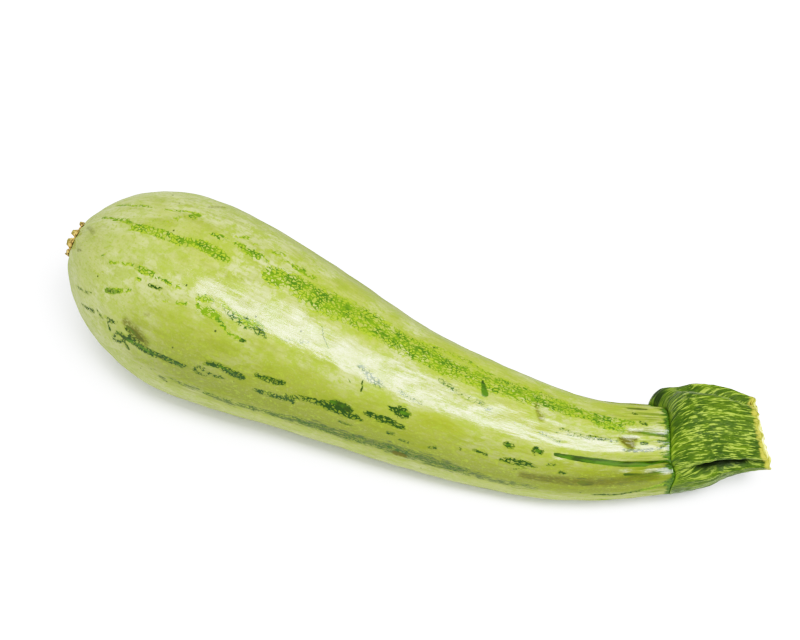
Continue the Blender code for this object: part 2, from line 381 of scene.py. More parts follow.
# %% Bright stripes
BRIGHT_STRIPES = strokes("""
    1: 8 -4 .5, 13 0 .6, 17.5 1 .8, 21 5 1.2
    1: 67 -2 2.2, 69 -3 3.9, 74 -5 4.3, 82 -4 5.2, 90 -7, 97 -10, 104 -11, 111 -9 4.8, 117 -10,
        126 -9 4.3, 133 -6 3.9, 140 -7, 148 -9, 154 -11 4.3, 163 -12 3.9, 170 -11 3.5,
        177 -8 2.2, 184 -5, 189 1 1.7
    1.16: 102 -10 2.4, 112 -8, 118 -9
    1.1: 10 -21 .5, 16.5 -16, 22 -16
    1: 27 -15 .5, 31 -17, 34 -19 .7, 37.5 -20
    1.32: 35.5 -16 .8, 38 -19
    .56: 31.5 -9 1.8, 37 -15
    .49: 24 -1 2.2, 31 -5
    .83: 20.5 6 1.3, 27 4 1.6, 34.5 4 1.8, 41.5 3
    1.1: 12.5 0 .7, 17.5 0
    1.1: 41 2 1.3, 46.5 1 2.2, 51.5 1, 54.5 2 1.3
    1: 45.5 -9 .8, 48.5 -10 1.3, 50.5 -10 .8
    .88: 52.5 -16 .8, 56 -20
    1.1: 54.5 -11 1.3, 57.5 -11 1.8, 61 -10 2, 64 -11 1.3
    .56: 58.5 -17 .8, 61 -21
    .61: 64 -18 1.3, 67 -22
    .56: 67 -15 1.1, 70 -20
    1: 72 -18 1.3, 75 -19 1.8, 79 -19 1.3
    .77: 122 -22 .8, 130 -24 1.3, 136 -22, 143 -19 .8, 149 -16
    1: 176 -5 1.3, 182 -4, 188 -4, 193 -3
    1: 181 3 1.3, 186 4, 190 7
    1: 22 52 1.3, 24 50, 27 47 .8, 30.5 43 .5
    .88: 45 29 .7, 47 27
    .77: 43 40 .5, 44.5 38
    1.1: 47.5 37 .8, 50 35
    1: 52.5 30 .8, 54.5 28 1.3, 56.5 27 .8
    1.1: 53.5 33 .8, 55.5 34 1.8, 58 34, 60 35 1.3, 63 39 .5
    1.1: 64 41 .7, 66 41 .8, 68 41 .5
    1: 68 30 .8, 70 29 1.3, 72 29 .8
    1.32: 196 90 .7, 199 88 .8, 205 81 1.1
    .88: 184 105 .8, 193 117, 200 117 1.3
    1.09: 19.5 3 .6, 25 3, 30 2, 36 3, 43.5 2
    1.03: 20.5 7 .6, 27.5 7, 33.5 7, 39 7
    1.23: 15.5 33 .6, 16 32
    1.03: 19.5 34 .6, 23.5 31, 28.5 29, 34.5 28, 39 29, 43 29 .7
    .82: 29 31 .6, 35 30, 39.5 30
    1.09: 31 35 .6, 32.5 35
    .76: 54 34 .6, 58 34 .7, 60 35 .6
    1.03: 60 27 .6, 64 28, 68 32 .7
    .82: 68 30 .6, 72 29
""")
print(len(BRIGHT_STRIPES), "bright strokes")

# %% [markdown]
# ### Dark green stripes
# Lower down, on the side that faces the camera, the net is deep green, and parts of
# it have run together into spots.

# %% Dark stripes
DARK_STRIPES = strokes("""
    .95: 36 35 .7, 37.5 35 .6, 40.5 34 .5
    1.2: 68 42 .6, 69 41
    1.2: 67 28 .6, 67 28
    .88: 71 31 .7, 73 34 .6, 74 35
    .83: 9.5 73 .6, 16.5 63
    .83: 13.5 82 .6, 19.5 74
    .77: 20.5 70 .6, 24.5 73
    1.16: 26 69 .6, 27.5 76
    1.16: 27 69 .7, 29.5 67 .6
    1.16: 29.5 80 .6, 30.5 75, 32.5 72, 34.5 74, 33 79, 30 82
    1.16: 34.5 76 .6, 36.5 80
    .77: 34 66 .9, 37.5 68 1.3, 39.5 69 1.1
    1.25: 36.5 72 1.7, 41 73 1.5, 45 73 1.4, 48 72 1.2, 52 72 1.1, 56 72 1
    .99: 58.5 72 .6, 59.5 68, 61 68 .8, 62 72, 60 73 .6, 58.5 72
    .94: 62 70 .9, 64 70 .8, 67 69 .6
    1.1: 61 64 .6, 63 63 .9, 65 62 1.2, 67 63, 70 64 1.7, 72 64 1.2
    1.2: 65 62 .7, 66 62
    1.04: 76 59 .9, 79 59 1.2, 82 59, 85 58 .9
    1.1: 77 70 .9, 81 70 1.1, 86 69 1, 90 68 .9
    .88: 87 65 .6, 88 68 .9, 90 70 .6
    .94: 89 66 .9, 93 63 1.2, 98 62
    1.2: 99 61 1.1, 101 61 1.8, 104 59 2.2, 107 59, 109 61 1.3, 112 62 .6
    1.2: 103 56 .9, 105 56
    .77: 106 70 .6, 110 70
    1.1: 113 55 .9, 116 56 1.4, 119 55, 124 56 .9
    1.2: 115 55 .7, 118 54
    .66: 120 65 .7, 122 65
    1.2: 118 44 .6, 120 44 1.2, 122 44 2.1, 124 44 1.2
    .66: 124 68 .6, 127 68 .7, 129 67 .6
    .66: 133 67 .6, 135 65
    .99: 146 57 .6, 150 58
    1.1: 154 59 .6, 158 58 1.2, 161 58, 165 58 .6
    .66: 159 66 .6, 163 62
    .77: 142 58 .6, 142 57
    .99: 168 54 .6, 170 53
    .88: 172 60 .6, 174 61
    1.2: 155 44 1.3, 156 43
    1.2: 164 42 1.5, 165 42
    1.2: 190 31 .6, 195 32, 201 31, 204 26
    1.2: 196 23 .6, 198 23
    1.2: 202 20 .6, 204 20
    1.2: 196 -4 .6, 198 -2
    1.2: 194 -19 .6, 195 -18
    .83: 179 18 .6, 182 19, 186 21
    .99: 182 92 .6, 189 95, 196 90
""")
print(len(DARK_STRIPES), "dark strokes")

# %% [markdown]
# ### The grey green band
# Close to the table the stripe is a soft grey green band of fine streaks, without cells.
# Its last row follows the neck's lower crease instead: painted shade there. Up in the
# shine a few nets are so faint that only their grey lines are left.

# %% Soft bands and grey nets
# painted shade: the last row lies in the neck's lower crease
SOFT_BANDS = strokes("""
    .66: 49 91 1.3, 53 88
    .66: 55.5 89 1.3, 61 87 1.4
    .76: 65 90 1.7, 72 91
    .76: 74 89 1.7, 81 88
    .76: 82 88 1.7, 91 88 2.3, 100 83, 110 84 2.8, 118 81, 125 81 3.4, 131 82, 138 82,
        145 85 2.3, 154 88 1.7, 161 88, 166 86 1.3
    .5: 162 71 1, 168 70 1.3, 177 70 1.7, 195 72, 205 60 1.2
""")
GREY_NETS = strokes("""
    .8: 62 89 1.2, 82 88 1.6, 95 85 2.2, 110 84 2.6, 125 81 3, 145 84 2.4
    .9: 52 28 .8, 55 28 1, 57 28 .8
    1.1: 61 28 1, 64 30 1.7, 67 31 2, 71 32, 74 35 1
    .8: 79 31 .8, 83 29 1, 87 26 .8
    1: 105 24 1, 109 27 1.7, 112 29 2, 114 31 1
    .9: 119 29 .8, 123 31 1, 127 31 .8
    .8: 130 8 1.2, 139 13 1.4, 147 17 1.2
    .8: 164 24 1, 168 26 1.3, 171 29 1
    .8: 170 15 .8, 179 20 1, 188 20 .8
    .8: 40 90 .3, 47.5 85
    .9: 168 20 .3, 175 20, 182 22
""")
print(len(SOFT_BANDS) + len(GREY_NETS), "soft and grey strokes")

# %% [markdown]
# ### Solid marks
# Where the net has grown together, the green is solid: in the middle of the dark spots,
# in short scratches, and in the streaks that run from the stem's grooves on to the neck.
# Those streaks lie in the neck's furrows, so they are partly the skin's dark green and
# partly painted shade of the furrows.

# %% Solid marks
# the three rows that end at 205 mm lie in the neck's furrows: partly dark green skin, partly painted shade
SOLID_MARKS = strokes("""
    .65: 39 72 .7, 45 73, 52 72 .5, 55 72 .4
    .6: 66 62 .5, 71 64 .6
    .6: 78 59 .5, 83 59
    .55: 22 52 1.3, 25 50, 27 48 .9
    1: 170 42 .7, 176 43 1, 183 45 1.2, 190 49, 197 51 1.1, 205 48 .9
    .8: 190 62 .5, 197 66 .7, 205 60 .8
    .8: 195 8 .5, 198 10 .6, 205 12 .8
    .9: 142 -7 .4, 143 0 1, 144 5 1.3
    .9: 178 71 .8, 179 72 1.2, 181 72 .8
    .7: 192 -29 .5, 196 -29 .8, 199 -29 .5
    .7: 34 65 .8, 37.5 66 1.3, 41 68 .9
    .7: 30.5 73 .6, 34.5 74 .7, 37.5 73 .8
    .9: 102 57 .7, 105 56 .8, 108 59 .7
    .8: 122 44 .7, 124 44
    .6: 36 36 .6, 38 35 .5
    .8: 204 86 .5, 204 83
    .7: 89 12 .3, 91 18, 94 23
    .8: 108 33 .4, 109 41
    .7: 104 36 .3, 105 38
    .8: 68 42 .4, 69 41
    .8: 67 28 .4, 67 28
    .7: 65 62 .5, 66 62
    .6: 155 44 .7, 156 43
    .6: 164 42 .8, 165 42
""")
print(len(SOLID_MARKS), "solid strokes")

# %% [markdown]
# ### Yellow areas and brown scars
# Broad parts of the sunny side are more yellow. Knocks in the field healed as small brown
# scars. Both are painted like the stripes, and a scar is pressed in a little later on. One
# long brown stroke follows the neck's lower crease: partly brown skin, partly painted shade
# there.

# %% Yellow areas and brown scars
YELLOW_AREAS = strokes("""
    .5: 40 55 9, 70 50 12, 100 47, 125 45 9
    .9: 123 43 3, 131 42 3.2, 139 42, 147 43 3, 153 44 2.6, 167 42 2
    .7: 27 -14 1.5, 36 -15, 44 -13
    .8: 22 0 3, 31 -2
    .5: 90 -30 6, 130 -28, 165 -25 5, 200 -25
    .8: 45 -19 1, 46 -19
    .7: 170 -8 4, 195 -4 5
""")
# the row from 162 71 to 200 68 lies in the neck's lower crease: partly brown skin, partly painted shade
BROWN_SCARS = strokes("""
    1.5: 190 19 1.2, 192 22 1.9, 193 27 .8
    1.2: 189 18 .8, 194 18 .9
    2.1: 124 86 1, 126.5 86 .9
    .8: 162 71 1.4, 172 70 1.7, 186 71, 200 68 1.4
    .7: 38 -31 .5, 40 -37 .6, 42 -41 .4
    .25: 56.5 11 .3, 64 7
    .8: 4.5 42 .5, 6 39 .3
    .8: 33 63 1.8, 37 65 2.6, 42 68 1.8
    .5: 4 7 .6, 7.5 16 .9
    .6: 39 52 .5, 40 51
    .7: 192 -29 .5, 196 -29 .8, 199 -29 .5
    .8: 192 8 .7, 196 8
    .8: 160 -6 .3, 161 3 .5, 163 9 1.3
""")
print(len(YELLOW_AREAS), "yellow areas and", len(BROWN_SCARS), "scars")

# %% [markdown]
# ### The side that nobody sees
# The same stripes go on round the back and underneath. They are drawn there by a
# seeded rule: six rows, each broken into pieces of random length, width and strength.
# Every third row is dark.

# %% Stripes on the far side
FAR_ROWS = (-76, -108, -140, -172, 150, 120)
FAR_END = 190
FAR_STEP = 7.0
draw = np.random.default_rng(11)
far_bright, far_dark = [], []
for number, row in enumerate(FAR_ROWS):
    s = draw.uniform(14, 40)
    while s < FAR_END:
        length = draw.uniform(12, 55)
        girth = draw.uniform(0.9, 3.2)
        stops = np.arange(s, min(s + length, FAR_END + 10), FAR_STEP)
        middle = row + draw.uniform(-5, 5)
        stroke = [(p, middle + draw.uniform(-2, 2), girth * draw.uniform(0.6, 1.1)) for p in stops]
        (far_dark if number % 3 == 2 else far_bright).append((draw.uniform(0.75, 1.0), stroke))
        s += length + draw.uniform(3, 22)
print(len(far_bright) + len(far_dark), "strokes on the far side")

# %% [markdown]
# ### From strokes to numbers
# Each list is now painted over the whole skin, which gives every point one number for each
# kind of mark. They are written into the mesh later, and the finish reads them there.

# %% Paint the marks
marks = {
    "bright": paint(BRIGHT_STRIPES + far_bright),
    "dark": paint(DARK_STRIPES + far_dark),
    "grey": paint(GREY_NETS),
    "band": paint(SOFT_BANDS),
    "yellow": paint(YELLOW_AREAS),
    "brown": paint(BROWN_SCARS),
    "solid": paint(SOLID_MARKS),
}
for title, field in marks.items():
    print(f"{title}: {100 * (field > 0.5).mean():.1f} % of the points")

# %% [markdown]
# ## Relief of the skin
# Seen close, the skin rolls gently, has faint ribs under the stripes, a fine lengthwise
# grain, and folds where it is drawn in round the blossom scar. Two creases run from the
# stem's grooves on to the neck. A bump in the finish would only shade them, so they are real
# height, which moves the points of the mesh straight out of the skin.

# %% Fruit relief
LUMP_HEIGHT = 0.14 * MM
LUMP_SIZE = 34 * MM
PEBBLE_HEIGHT = 0.042 * MM
PEBBLE_SIZE = 5.0
GRAIN_HEIGHT = 0.019 * MM
GRAIN_SIZE = 2.2
RIB_HEIGHT = 0.16 * MM
RIB_COUNT = 10
RIB_WANDER = 60.0
FOLD_HEIGHT = 0.35 * MM
FOLD_COUNT = 11
FOLD_MIDDLE = 8.5
FOLD_REACH = 5.0
CREASE_DEPTH = 0.30 * MM
SCAR_DEPTH = 0.18 * MM
CREASES = strokes("""
    1: 170 44 .8, 178 43 1.2, 183 45 1.3, 189 48, 205 49 1.4
    .35: 168 70 1.2, 177 70 1.5, 195 72, 205 60 1.4
""")
CREASE_SOFTNESS = 2

along_mm = S / MM
to_edge = WAY[-1, 0] - WAY
lumps = LUMP_HEIGHT * rolling(skin, LUMP_SIZE, seed=3)
pebbles = PEBBLE_HEIGHT * rolling(skin_place * (0.55, 1, 1), PEBBLE_SIZE, seed=4, waves=60)
grain = GRAIN_HEIGHT * rolling(skin_place * (0.35, 1, 1), GRAIN_SIZE, seed=5, waves=80)
rib_angle = RIB_COUNT * ROUND + 0.35 * rolling(skin_place, RIB_WANDER, seed=6)
ribs = RIB_HEIGHT * np.cos(rib_angle) * ramp(along_mm, 30, 90)
fold_shape = np.cos(FOLD_COUNT * ROUND + 0.8 * np.sin(3 * ROUND))
folds = FOLD_HEIGHT * fold_shape * np.exp(-(((WAY - FOLD_MIDDLE) / FOLD_REACH) ** 2))
creases = -CREASE_DEPTH * sum(share * trace(crease, CREASE_SOFTNESS) for share, crease in CREASES)
pits = -SCAR_DEPTH * marks["brown"]
seat_fade = ramp((WAY - SCAR_SEAT_RADIUS / MM) / 1.2) * ramp(to_edge / 2.0)
relief = (lumps + pebbles + grain + ribs + folds + creases + pits) * seat_fade
skin = skin + outward(skin) * relief[..., None]
print(f"relief from {relief.min() * 1000:.2f} to {relief.max() * 1000:.2f} mm")

# %% [markdown]
# ## Lay the fruit down
# The plain model was pressed flat a little where it touches the table, and moved so
# that the middle of its box is over the origin. The fine skin follows: the same press,
# and a shift that brings its box over the box of the plain fruit.

# %% Place the fruit
NOSE_SHARES = (0.5, 0.96)
SEAT_SHARES = (0.98, 2 / 3, 1 / 3)
base = fruit_centre(nose_start())
base_tangent = fruit_tangent(nose_start())
nose_rings = [base + around(base_tangent, ANGLE[0]) * SCAR_SEAT_RADIUS * share for share in NOSE_SHARES]
seat_rings = [seat_point(share, ANGLE[0], 0.0) for share in SEAT_SHARES]
fruit_rings = np.concatenate([nose_rings, skin, seat_rings])

low, high = (np.array(corner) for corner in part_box("fruit"))
form = fruit_point(S, ROUND)
SHIFT = (low + high - form.min(axis=(0, 1)) - form.max(axis=(0, 1))) / 2
SHIFT[2] = -UNDERSIDE_PRESS


def laid(points):
    """Move points of the form to where the plain model lies, pressed flat on the table."""
    moved = np.asarray(points) + SHIFT
    moved[..., 2] = np.maximum(moved[..., 2], 0.0)
    return moved


print("shift of the form in mm:", (SHIFT * 1000).round(2))

# %% [markdown]
# ## Notes for the finish
# Some looks depend on where a point lies and not on a painted mark. The side towards the
# table, and the neck's sides below its main furrow, are painted darker and greener: partly
# the skin's own colour, partly painted shade. The nose and the underside are paler. The
# neck's end gets dark streaks, painted shade of its fine ribs, and has a ragged green edge
# under the stem. A second ruler sets the cells of the net: they are longer than wide, and
# towards the neck a little longer still.

# %% Notes for the fruit
CELL_LENGTHENING = 0.62
NECK_LENGTHENING = 0.24
NECK_CELLS_START = 120
NECK_CELLS_FADE = 12
SEAM_REACH = 2.2
NECK_REACH = 16.0


def with_ends(values, before=len(nose_rings), after=len(seat_rings)):
    """Give the rings that close the ends the values of the rings beside them."""
    return np.concatenate([values[:1]] * before + [values] + [values[-1:]] * after)


from_top = np.degrees(np.abs(half_turn(ROUND)))
# painted shade, partly the skin's own colour: darker and greener towards the table, and on the neck's sides
# below its main furrow
side_shade = ramp(from_top, 26, 76) * (1 - 0.8 * ramp(from_top, 78, 100)) * ramp(along_mm, 12, 57)
side_shade = side_shade + 0.35 * ramp(along_mm, 160, 190) * ramp(from_top, 44, 64)
nose = np.maximum(1 - ramp(along_mm, 5, 55), ramp(from_top, 86, 104))
beyond_body = np.logaddexp(0.0, (WAY - NECK_CELLS_START) / NECK_CELLS_FADE)
cell_way = CELL_LENGTHENING * WAY - NECK_LENGTHENING * beyond_body
shading = {
    "skin_place": skin_place,
    "cell_place": np.stack([cell_way, skin_place[..., 1], skin_place[..., 2]], -1),
    "side_shade": side_shade,
    "nose": nose,
    "seam": np.exp(-to_edge / SEAM_REACH),
    "neck": np.exp(-to_edge / NECK_REACH),
}
fruit_notes = {title: with_ends(values) for title, values in {**shading, **marks}.items()}
fruit = bag("fruit_skin", laid(base), laid(fruit_rings), laid(NECK_END), fruit_notes)

# %% [markdown]
# ## Colours as on a screen
# Nodes work with linear light, while a colour picker shows the steeper numbers of a
# screen. A small helper turns one into the other, so that colours can be written as read.

# %% Screen colours
def seen(red, green, blue):
    """Turn a colour as read on a screen, 0 to 255, into the linear one that nodes use."""
    shares = [c / 255 for c in (red, green, blue)]
    return tuple(c / 12.92 if c <= 0.04045 else ((c + 0.055) / 1.055) ** 2.4 for c in shares) + (1.0,)


print("middle grey in linear light:", round(seen(128, 128, 128)[0], 3))

# %% [markdown]
# ## A short way to write finishes
# A finish in Blender is a net of nodes. Written out one by one they hide what the
# finish does, so a small helper makes a node, sets what is a plain value and links
# what comes from another node.

# %% Finish helper
class Finish:
    """A material and its nodes, with one short call for each kind of step."""

    def __init__(self, name):
        self.material = bpy.data.materials.new(name)
        self.material.use_nodes = True
        self.nodes = self.material.node_tree.nodes
        self.shader = self.nodes["Principled BSDF"]

    def put(self, socket, value):
        if isinstance(value, bpy.types.NodeSocket):
            self.material.node_tree.links.new(value, socket)
        else:
            socket.default_value = value

    def make(self, kind, inputs, **settings):
        node = self.nodes.new("ShaderNode" + kind)
        for key, value in settings.items():
            setattr(node, key, value)
        for key, value in inputs.items():
            self.put(node.inputs[key], value)
        return node

    def note(self, title, output="Fac"):
        return self.make("Attribute", {}, attribute_name=title).outputs[output]

    def stretch(self, place, *factors):
        return self.make("VectorMath", {0: place, 1: factors}, operation="MULTIPLY").outputs[0]

    def noise(self, place, scale, detail=3.0, rough=0.5, bend=0.0):
        inputs = {"Vector": place, "Scale": scale, "Detail": detail, "Roughness": rough, "Distortion": bend}
        return self.make("TexNoise", inputs).outputs["Fac"]

    def drawn(self, place, share, *settings):
        """Return noise that is drawn out along the piece: a share of 0.1 makes it ten times as long."""
        return self.noise(self.stretch(place, share, 1, 1), *settings)

    def waver(self, place, scale, reach):
        """Shift places to and fro by up to half the reach, so that cells lose their order."""
        shift = self.make("TexNoise", {"Vector": place, "Scale": scale, "Detail": 2.0}).outputs["Color"]
        centred = self.make("VectorMath", {0: shift, 1: (0.5, 0.5, 0.5)}, operation="SUBTRACT").outputs[0]
        far = self.stretch(centred, reach, reach, reach)
        return self.make("VectorMath", {0: place, 1: far}, operation="ADD").outputs[0]

    def cells(self, place, scale):
        """Return each point's distance from the middle of its cell, and a chance number of the cell."""
        node = self.make("TexVoronoi", {"Vector": place, "Scale": scale})
        chance = self.make("SeparateColor", {0: node.outputs["Color"]}).outputs[0]
        return node.outputs["Distance"], chance

    def edges(self, place, scale):
        """Return each point's distance from the edge of its cell."""
        node = self.make("TexVoronoi", {"Vector": place, "Scale": scale}, feature="DISTANCE_TO_EDGE")
        return node.outputs["Distance"]

    def step(self, value, low, high, start=0.0, end=1.0):
        """Ease from start to end as the value goes from low to high."""
        inputs = {"Value": value, "From Min": low, "From Max": high, "To Min": start, "To Max": end}
        return self.make("MapRange", inputs, interpolation_type="SMOOTHSTEP").outputs[0]

    def sum(self, first, second, factor=1.0):
        """Return first + second * factor."""
        return self.make("Math", {0: second, 1: factor, 2: first}, operation="MULTIPLY_ADD").outputs[0]

    def times(self, first, second):
        return self.make("Math", {0: first, 1: second}, operation="MULTIPLY").outputs[0]

    def mix(self, share, first, second):
        node = self.make("Mix", {0: share, 6: first, 7: second}, data_type="RGBA")
        return node.outputs[2]

    def tint(self, colour, other, value, low, high, most=1.0):
        """Lay another colour over this one, by up to most, as the value goes from low to high."""
        return self.mix(self.step(value, low, high, 0.0, most), colour, other)

    def spots(self, place, scale, outer, inner, rare, common, most=1.0):
        """Return a round spot in each cell whose chance number is high enough."""
        distance, chance = self.cells(place, scale)
        return self.times(self.step(distance, outer, inner), self.step(chance, rare, common, 0.0, most))

    def bump(self, height, distance):
        return self.make("Bump", {"Height": height, "Distance": distance}).outputs[0]

    def surface(self, **inputs):
        for key, value in inputs.items():
            self.put(self.shader.inputs[key.replace("_", " ")], value)
        return self.material


print("steps of a finish:", [name for name in vars(Finish) if name[0] != "_"])

# %% [markdown]
# ## The fruit's skin
# The ground colour is a pale yellow green, and the stripes over it go from lime to a deep
# green. They were matched beside the shine of the skin, where the light is flat.

# %% Colours of the skin
PALE_SKIN = seen(154, 160, 109)
GREEN_SKIN = seen(138, 146, 74)
YELLOW_SKIN = seen(122, 133, 33)
FIBRE = seen(123, 131, 63)
FLECK = seen(166, 168, 125)
SHADE_SKIN = seen(94, 102, 26)
STAIN = seen(100, 110, 16)
MARBLE = seen(122, 138, 46)
LIGHT_LIME = seen(122, 142, 30)
LIME = seen(90, 118, 0)
LEAF = seen(60, 92, 0)
OLIVE = seen(78, 94, 8)
DEEP_GREEN = seen(30, 56, 0)
GREY_GREEN = seen(46, 74, 14)
BAND_GREEN = seen(54, 70, 38)
SOLID_GREEN = seen(60, 92, 0)
SOLID_DARK = seen(40, 58, 0)
SCAR_BROWN = seen(74, 74, 0)
SPECK = seen(60, 70, 24)
print("the pale skin in linear light:", [round(c, 2) for c in PALE_SKIN[:3]])

# %% [markdown]
# ### Ground colour
# Skin has no even colour: there are broad clouds of pale and green, a marbling, a
# lengthwise grain, a fine stipple and dull stains lower down. One noise for each of
# them, drawn out along the fruit, is laid over the last. That is easier to steer than a
# single noise with many colours, because each layer has a strength of its own.

# %% Ground of the skin
peel = Finish("fruit skin")
place = peel.note("skin_place", "Vector")
along = peel.stretch(place, 0.5, 1, 1)
fibre = peel.drawn(place, 0.12, 1.3, 3.0)
patches = peel.noise(along, 0.16, 4.0, 0.6)
marbling = peel.drawn(place, 0.6, 0.28, 6.0, 0.75)
stipple = peel.drawn(place, 0.7, 1.0, 4.0, 0.75)
stains = peel.drawn(place, 0.25, 0.33, 5.0, 0.7)

ground = peel.tint(PALE_SKIN, GREEN_SKIN, peel.noise(along, 0.07, 3.0), 0.42, 0.58)
ground = peel.tint(ground, FIBRE, fibre, 0.42, 0.66, 0.45)
sunny = peel.times(peel.note("yellow"), peel.step(patches, 0.3, 0.6))
ground = peel.mix(sunny, ground, YELLOW_SKIN)
ground = peel.tint(ground, YELLOW_SKIN, patches, 0.50, 0.62, 0.35)
ground = peel.tint(ground, MARBLE, marbling, 0.46, 0.58, 0.85)
# painted shade, partly the skin's own colour: the side towards the table turns darker and greener
ground = peel.mix(peel.times(peel.note("side_shade"), 0.9), ground, SHADE_SKIN)
ground = peel.mix(peel.times(peel.note("nose"), 0.4), ground, PALE_SKIN)
ground = peel.tint(ground, FLECK, stipple, 0.50, 0.72, 0.16)
ground = peel.tint(ground, MARBLE, stipple, 0.50, 0.34, 0.8)
stained = peel.step(stains, 0.48, 0.64, 0.0, 0.7)
low_down = peel.step(peel.note("side_shade"), 0.0, 1.0, 0.35, 1.0)
ground = peel.mix(peel.times(stained, low_down), ground, STAIN)
flecks = peel.spots(peel.waver(along, 0.6, 1.2), 0.6, 0.36, 0.14, 0.5, 0.9, 0.06)
ground = peel.mix(flecks, ground, FLECK)
print("ground of the skin:", len(peel.nodes), "nodes")

# %% [markdown]
# ### The net of the stripes
# A stripe is a net: small pale cells stand in green lines, and its edge is ragged. One
# rough threshold is made from noise, and a stripe shows where its painted number is above
# it. Within it, green lines run along the edges of small light cells, thicker where the
# stripe is stronger. A Voronoi pattern gives cells that are all much alike, so their
# places waver first. Cells are filled by chance, and here and there a larger one has stayed
# as pale as the skin. All stripes share these cells, so that they are of one kind.

# %% Net of the stripes
cell_place = peel.waver(peel.note("cell_place", "Vector"), 0.9, 1.3)
ragged = peel.drawn(place, 0.42, 0.40, 5.0, 0.72)
fine = peel.noise(along, 2.2, 2.0)
threshold = peel.sum(peel.sum(-0.80, ragged, 1.75), fine, 0.7)
cell_edge = peel.edges(cell_place, 1.15)
cell_chance = peel.cells(cell_place, 1.15)[1]
holes = peel.spots(cell_place, 0.5, 0.42, 0.26, 0.3, 0.4)


def net(colour, title, fill, line, fill_share, thickness=0.03):
    """Lay a stripe over a colour: cells filled by chance, green lines between them, and holes."""
    mark = peel.note(title)
    above = peel.sum(mark, threshold, -1.0)
    painted = peel.step(mark, 0.05, 0.18)
    filled = peel.times(peel.step(cell_chance, 0.3, 0.7, 0.15, 0.9), fill_share)
    zone = peel.times(peel.times(peel.step(above, -0.12, 0.10), painted), filled)
    whole = peel.step(peel.sum(holes, above, -1.0), 0.1, 0.5, 1.0, 0.15)
    colour = peel.mix(peel.times(zone, whole), colour, fill)
    reach = peel.sum(peel.sum(thickness, above, 0.23), cell_edge, -1.0)
    reach = peel.sum(peel.sum(reach, fine, 0.30), -0.15)
    lines = peel.times(peel.times(peel.step(reach, -0.02, 0.05), painted), whole)
    return peel.mix(lines, colour, line), lines


def rough_mark(title, limit, soft, gate, most=1.0):
    """Return where a painted mark is above a limit made from noise, within a soft edge."""
    above = peel.sum(peel.note(title), limit, -1.0)
    return peel.times(peel.step(above, *soft, 0.0, most), peel.step(peel.note(title), *gate))


print("cells and threshold:", len(peel.nodes), "nodes")

# %% [markdown]
# ### All marks in their order
# On the real skin a dark mark covers a light one. So the soft band is laid first, then the
# grey, the bright and the dark nets, the solid marks and the scars. The dark streaks at the
# neck's end, which are painted shade of its fine ribs, the jagged edge at the stem and a few
# dark specks come last.

# %% Marks over the ground
hue = peel.noise(along, 0.35, 3.0)
streaky = peel.drawn(place, 0.16, 2.1, 4.0, 0.7)
band_shows = rough_mark("band", peel.sum(-1.7, streaky, 4.4), (-0.05, 0.4), (0.05, 0.3), 0.85)
colour = peel.mix(band_shows, ground, BAND_GREEN)
colour, _ = net(colour, "grey", OLIVE, GREY_GREEN, 0.2, 0.0)
leaf = peel.tint(LIME, LEAF, hue, 0.42, 0.62)
colour, bright_lines = net(colour, "bright", LIGHT_LIME, leaf, 1.0)
colour, _ = net(colour, "dark", OLIVE, DEEP_GREEN, 0.8)
solid_shows = rough_mark("solid", peel.sum(0.22, fine, 0.4), (-0.1, 0.25), (0.1, 0.3))
colour = peel.mix(solid_shows, colour, peel.tint(SOLID_GREEN, SOLID_DARK, hue, 0.4, 0.6))
brown_shows = peel.times(peel.note("brown"), peel.step(fine, 0.3, 0.55, 0.3, 1.0))
colour = peel.mix(brown_shows, colour, SCAR_BROWN)
# painted shade: dark streaks along the fine ribs at the neck's end
streaks = peel.step(peel.drawn(place, 0.06, 0.9, 3.0, 0.65), 0.50, 0.60, 0.0, 0.75)
colour = peel.mix(peel.times(streaks, peel.step(peel.note("neck"), 0.1, 0.7)), colour, OLIVE)
spikes = peel.drawn(place, 0.35, 0.5, 5.0, 0.75)
seam_shows = rough_mark("seam", peel.sum(-0.72, spikes, 2.2), (-0.05, 0.2), (0.05, 0.25), 0.95)
colour = peel.mix(seam_shows, colour, peel.tint(LEAF, DEEP_GREEN, fine, 0.4, 0.6))
colour = peel.mix(peel.spots(place, 0.22, 0.09, 0.05, 0.7, 0.72), colour, SPECK)
print("skin finish:", len(peel.nodes), "nodes")

# %% [markdown]
# ### Wax
# The wax makes the skin shine like silk. It is a thin coat that mirrors strongly and a
# little blurred, over a base that doesn't mirror by itself, so the green stays clean beside
# the shine. Its grain is too fine for the mesh, so it goes into the shader as a bump of a
# few hundredths of a millimetre.

# %% Gloss and grain
WAX_GRAIN = 0.06 * MM
WAX_SHARE = 0.17
WAX_IOR = 2.2
WAX_BLUR = 0.2
micro = peel.noise(along, 0.75, 4.0, 0.55)
height = peel.sum(peel.sum(fibre, micro, 1.2), bright_lines, 0.25)
wax_normal = peel.bump(height, WAX_GRAIN)
skin_material = peel.surface(
    Base_Color=colour, Roughness=peel.step(micro, 0.3, 0.7, 0.28, 0.42),
    Normal=wax_normal, Coat_Normal=wax_normal, Specular_IOR_Level=0.0,
    Coat_Weight=WAX_SHARE, Coat_IOR=WAX_IOR, Coat_Roughness=WAX_BLUR)
fruit.data.materials.append(skin_material)
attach(fruit, "root")
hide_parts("fruit")
print("the fruit has", len(fruit.data.attributes), "attributes")

# %% [markdown]
# ## The stem's form
# The stem flares into lobes that sit over the neck, and five narrow grooves run along
# it between broad ribs. Its middle line turns away from the neck's. The form is the
# plain model's, with sharper grooves, raised lips beside them, and a fine grain.

